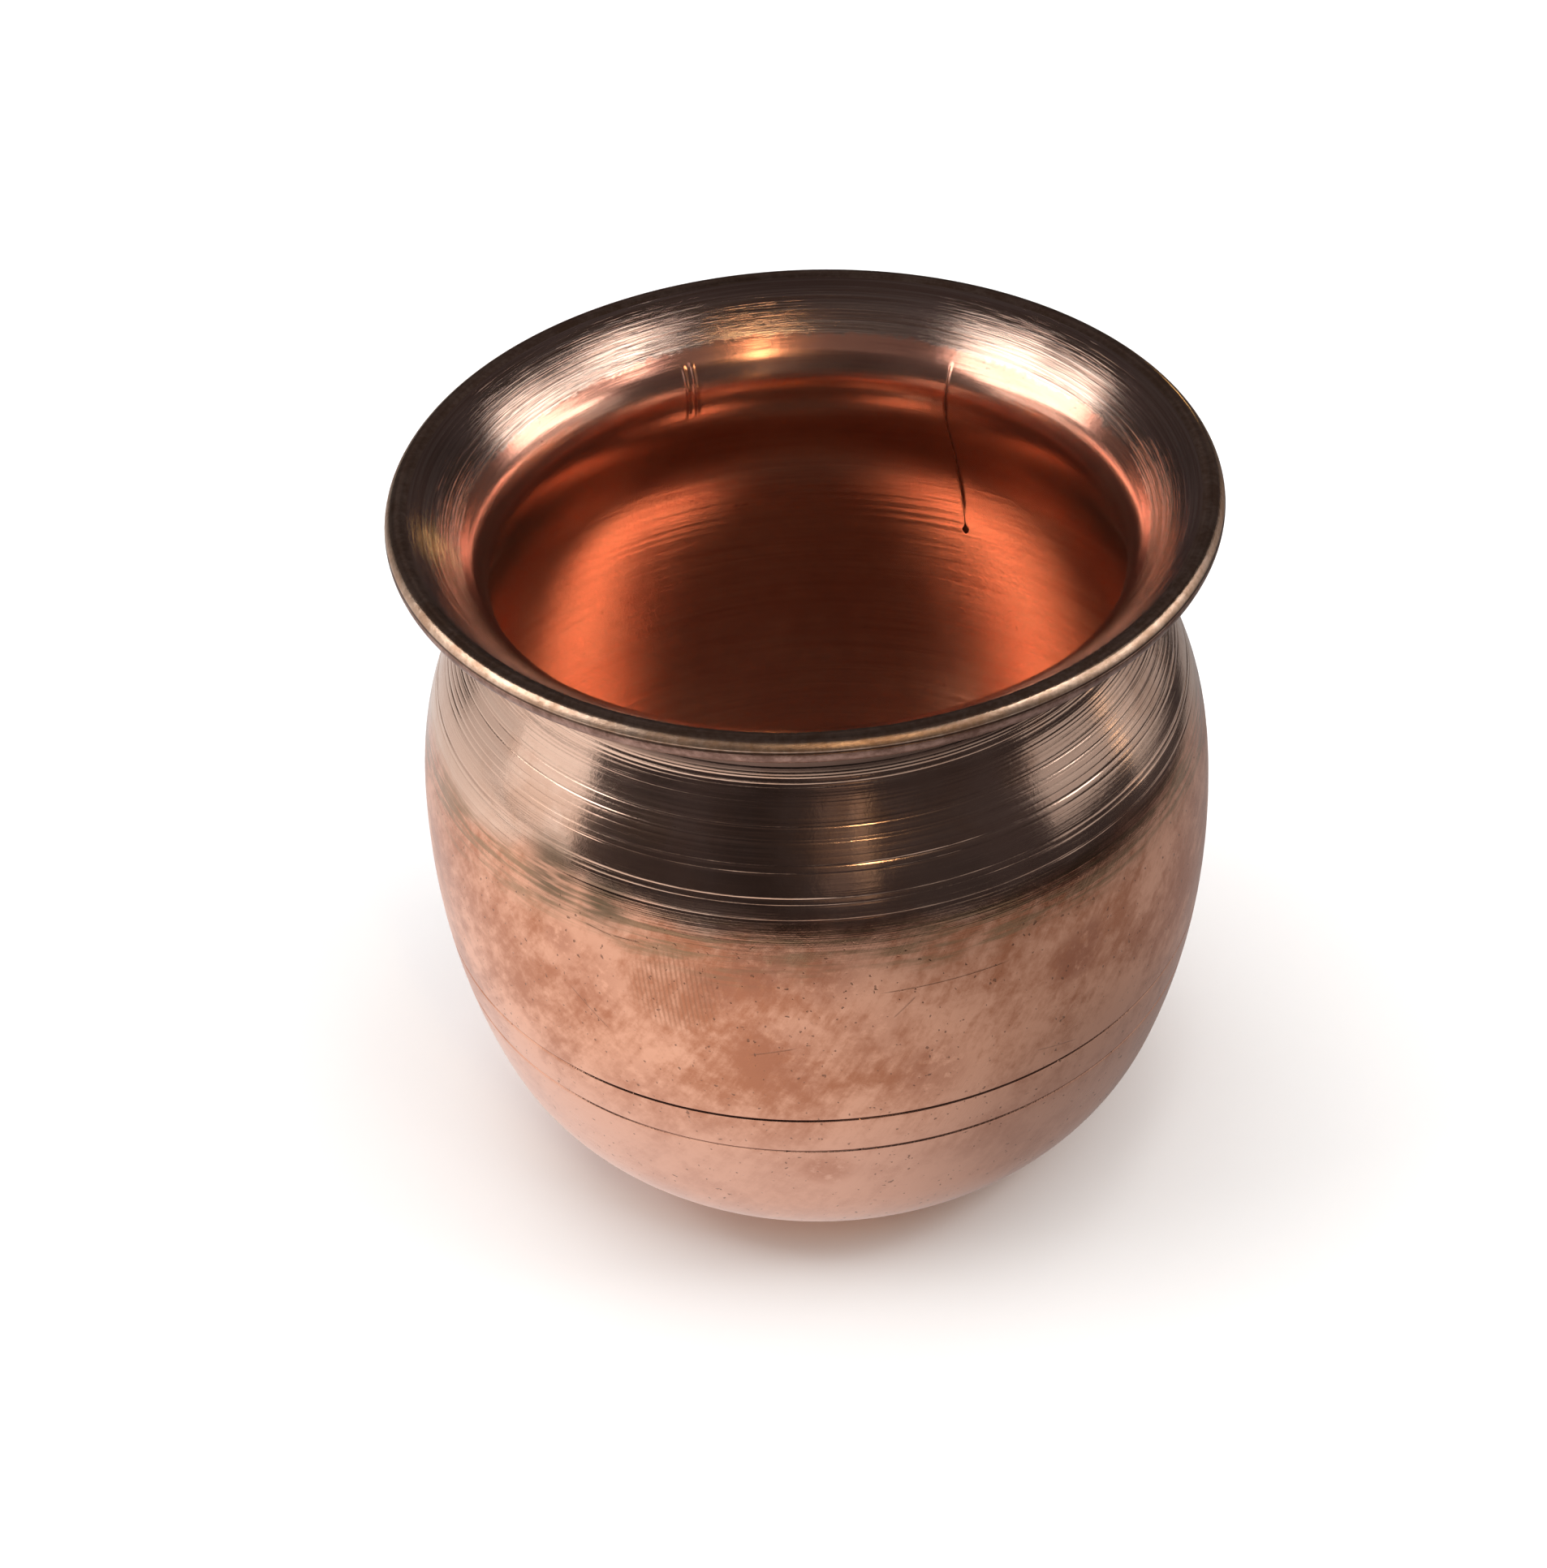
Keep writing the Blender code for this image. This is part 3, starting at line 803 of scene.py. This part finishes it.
def add_camera():
    """The camera that was fitted to the photograph's outlines."""
    right = Vector((1, 0, 0))
    forward = Vector((0, math.cos(CAMERA_TILT), -math.sin(CAMERA_TILT)))
    down = forward.cross(right)
    cosine, sine = math.cos(CAMERA_ROLL), math.sin(CAMERA_ROLL)
    right, down = cosine * right - sine * down, sine * right + cosine * down
    across, below, ahead = CAMERA_REACH
    place = RIM_CENTRE - right * across - down * below - forward * ahead
    data = bpy.data.cameras.new("camera")
    data.lens = LENS
    data.shift_x, data.shift_y = SHIFT
    data.clip_start = 0.01
    camera = bpy.data.objects.new("camera", data)
    turn = Matrix((right, -down, -forward)).transposed().to_4x4()
    camera.matrix_world = Matrix.Translation(place) @ turn
    bpy.context.scene.collection.objects.link(camera)
    bpy.context.scene.camera = camera


def add_floor():
    """A pale table top, and a second one that only the copper mirrors, as a room shades it."""
    pale = bpy.data.materials.new("pale_floor")
    pale.use_nodes = True
    shader = pale.node_tree.nodes["Principled BSDF"]
    shader.inputs["Base Color"].default_value = (0.88, 0.88, 0.88, 1)
    shader.inputs["Roughness"].default_value = 0.8
    shader.inputs["Specular IOR Level"].default_value = 0.2
    left, front, back = -0.45, -0.27, 0.70
    for name, material, right, height in (
        ("floor", pale, 0.45, 0),
        ("mirrored_floor", room_floor(), 0.16, -0.0002),
    ):
        data = bpy.data.meshes.new(name)
        corners = [(x, y, height) for x, y in ((left, front), (right, front), (right, back), (left, back))]
        data.from_pydata(corners, [], [(0, 1, 2, 3)])
        data.materials.append(material)
        table = bpy.data.objects.new(name, data)
        bpy.context.scene.collection.objects.link(table)
        mirrored = name != "floor"
        table.visible_glossy = mirrored
        table.visible_camera = table.visible_diffuse = table.visible_shadow = not mirrored


def room_floor():
    """The floor as the copper mirrors it: bright on the left, dim on the right and in the pot's shadow."""
    look = Look("room_floor")
    light = look.fade(look.x, -0.07, 0.09, 1.02, 0.44)
    light = look.math("MULTIPLY", light, look.fade(look.y, -0.29, -0.13, 0.55, 1))
    light = look.math("MULTIPLY", light, look.fade(look.y, 0.0, 0.08, 1, 0.8))
    light = look.math("MULTIPLY", light, look.fade(look.y, 0.08, 0.25, 1, 0.4))
    shadow = look.from_place("DISTANCE", (0.045, -0.025, 0))
    light = look.math("MULTIPLY", light, look.fade(shadow, 0.015, 0.055, 0.6, 1))
    return look.set(Base_Color=(0, 0, 0, 1), Metallic=0, Specular_IOR_Level=0,
                    Emission_Color=(1, 0.98, 0.97, 1), Emission_Strength=light)


def add_light(name, azimuth, elevation, distance, size, radiance, colour=(1, 1, 1), mirrored=True):
    """A rectangular lamp aimed at the pot. Azimuth runs from +X towards +Y; radiance is per unit area."""
    turn, rise = math.radians(azimuth), math.radians(elevation)
    towards = Vector(
        (math.cos(turn) * math.cos(rise), math.sin(turn) * math.cos(rise), math.sin(rise))
    )
    data = bpy.data.lights.new(name, "AREA")
    data.shape = "RECTANGLE"
    data.size, data.size_y = size
    data.energy = radiance * 4 * size[0] * size[1]
    data.color = colour
    lamp = bpy.data.objects.new(name, data)
    lamp.location = Vector((0, 0, HEIGHT / 2)) + towards * distance
    lamp.rotation_euler = towards.to_track_quat("Z", "Y").to_euler()
    lamp.visible_camera = False
    lamp.visible_glossy = mirrored
    bpy.context.scene.collection.objects.link(lamp)


def lamp_size(across, up, distance):
    """The width and height, at a distance, of a lamp that fills two angles given in degrees."""
    return tuple(2 * distance * math.tan(math.radians(angle) / 2) for angle in (across, up))


def add_lights():
    far, near = 0.9, 0.88  # metres from the pot
    add_light("key", 150, 70, 1.3, (1.5, 1.5), 2.1, mirrored=False)
    add_light("fill", -20, 60, 1.3, (1.3, 1.3), 1.7, mirrored=False)
    add_light("left_window", 183, 30, far, lamp_size(42, 16, far), 2.8)
    add_light("left_window_top", 193, 44, far, lamp_size(22, 8, far), 3.4)
    add_light("left_low", 187, 8, far, lamp_size(28, 26, far), 0.78)
    add_light("left_low_side", 161, -1, far, lamp_size(24, 24, far), 0.48)
    add_light("right_window", 4, 29, far, lamp_size(33, 12, far), 2.8)
    add_light("right_window_top", -20, 50, far, lamp_size(12, 11, far), 5.0)
    add_light("right_window_haze", 4, 44, far, lamp_size(20, 12, far), 0.15)
    add_light("front_haze", -90, 51, far, lamp_size(60, 14, far), 0.08, (1, 0.95, 0.9))
    add_light("right_dim", -4, 13, far, lamp_size(42, 26, far), 0.33)
    add_light("right_low", 24, -3, far, lamp_size(36, 14, far), 0.30)
    add_light("warm_lamp", -75.5, 43, far, lamp_size(3.6, 15, far), 11, (1, 0.70, 0.38))
    add_light("warm_column", -77.5, 19, near, lamp_size(2.2, 24, near), 0.35, (1, 0.75, 0.5))
    add_light("warm_low", 5, 2, near, lamp_size(3, 4, near), 1.5, (1, 0.72, 0.42))
    add_light("warm_glow", -84, 22, far, lamp_size(12, 34, far), 0.06, (1, 0.75, 0.6))
    add_light("warm_back", 66, 9, far, lamp_size(4, 3, far), 2.6, (1, 0.72, 0.3))


def add_world():
    """A dim warm room in the reflections, and a pale backdrop behind the floor."""
    world = bpy.data.worlds.new("room")
    bpy.context.scene.world = world
    world.use_nodes = True
    tree = world.node_tree
    tree.nodes.clear()
    paths = tree.nodes.new("ShaderNodeLightPath")
    room, backdrop = (tree.nodes.new("ShaderNodeBackground") for _ in range(2))
    clouds = tree.nodes.new("ShaderNodeTexNoise")
    clouds.inputs["Scale"].default_value = 2.2
    shade = tree.nodes.new("ShaderNodeMapRange")
    shade.inputs["From Min"].default_value = 0.3
    shade.inputs["From Max"].default_value = 0.7
    shade.inputs["To Min"].default_value = 0.55
    shade.inputs["To Max"].default_value = 1.5
    tree.links.new(clouds.outputs[0], shade.inputs["Value"])
    tree.links.new(shade.outputs[0], room.inputs["Strength"])
    room.inputs["Color"].default_value = (0.038, 0.034, 0.036, 1)
    backdrop.inputs["Color"].default_value = (1, 1, 1, 1)
    either = tree.nodes.new("ShaderNodeMixShader")
    output = tree.nodes.new("ShaderNodeOutputWorld")
    tree.links.new(paths.outputs["Is Camera Ray"], either.inputs[0])
    tree.links.new(room.outputs[0], either.inputs[1])
    tree.links.new(backdrop.outputs[0], either.inputs[2])
    tree.links.new(either.outputs[0], output.inputs[0])


def main():
    add_camera()
    add_floor()
    add_lights()
    add_world()
    bpy.context.scene.view_settings.view_transform = "Standard"

    outside = outside_copper()
    edge = rolled_edge_copper()
    inside = mouth_and_inside_copper()
    filler = filler_metal()
    for piece, node, slot in (
        (upper_body(outside, edge, inside), "upper_body", "copper_body"),
        (lower_bowl(outside, inside), "lower_bowl", "copper_body"),
        (seam_filler(filler), "side_seam_braze", "brazing_filler"),
        (joint_filler(joint_metal()), "belly_joint_braze", "brazing_filler"),
    ):
        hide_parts(node)
    wire = bpy.data.objects["rim_wire"]
    for place in wire.material_slots:
        place.material = wire_copper()


main()
